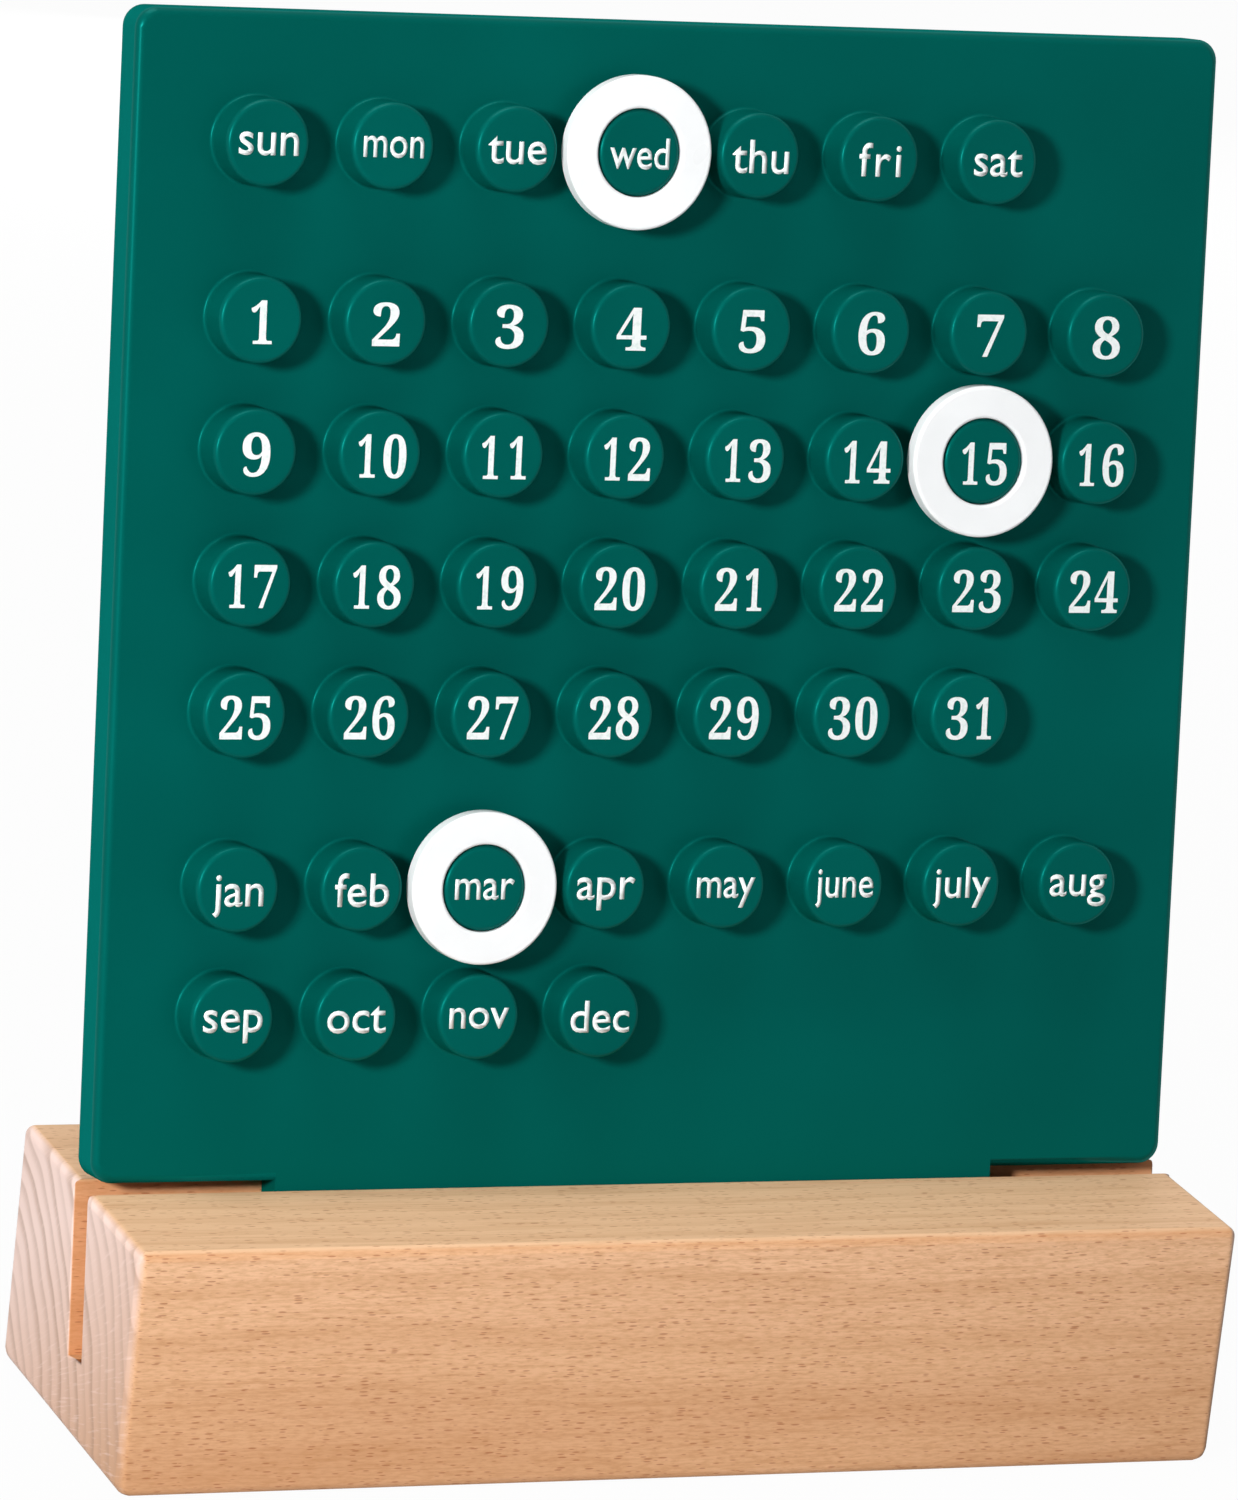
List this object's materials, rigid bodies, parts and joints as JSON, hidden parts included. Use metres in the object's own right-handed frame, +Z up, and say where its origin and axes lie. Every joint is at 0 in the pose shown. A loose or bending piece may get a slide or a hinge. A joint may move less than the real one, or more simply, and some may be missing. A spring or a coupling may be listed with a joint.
{
  "type": "perpetual desk calendar",
  "caption": "Perpetual desk calendar: a moulded board of pegs stands in the leaning slot of a wooden block, and rings slipped over pegs mark the weekday, date and month.",
  "frame": {"origin": "middle of the block's underside, on the surface it stands on", "axes": "+X along the block to the reader's right, -Y towards the reader, +Z up"},
  "size_m": [0.1366, 0.0488, 0.1628],
  "materials": {
    "beech": "sanded and oiled beech",
    "board_plastic": "moulded ABS, fine satin, dark green",
    "ring_plastic": "moulded ABS, smooth, white",
    "legend_ink": "white pad-printed ink"
  },
  "bodies": {
    "base": {"base_block": "beech"},
    "board": {"calendar_board": "board_plastic", "weekday_pegs": "board_plastic", "date_pegs": "board_plastic", "month_pegs": "board_plastic"},
    "weekday_marker": {"weekday_ring": "ring_plastic"},
    "date_marker": {"date_ring": "ring_plastic"},
    "month_marker": {"month_ring": "ring_plastic"}
  },
  "joints": [
    {"name": "board_lift", "type": "slide", "parent": "base", "child": "board", "axis": [0, 0.1736, 0.9848], "range_m": [0, 0.025]},
    {"name": "weekday_ring_pull", "type": "slide", "parent": "board", "child": "weekday_marker", "axis": [0, -0.9848, 0.1736], "range_m": [0, 0.008]},
    {"name": "date_ring_pull", "type": "slide", "parent": "board", "child": "date_marker", "axis": [0, -0.9848, 0.1736], "range_m": [0, 0.008]},
    {"name": "month_ring_pull", "type": "slide", "parent": "board", "child": "month_marker", "axis": [0, -0.9848, 0.1736], "range_m": [0, 0.008]}
  ]
}
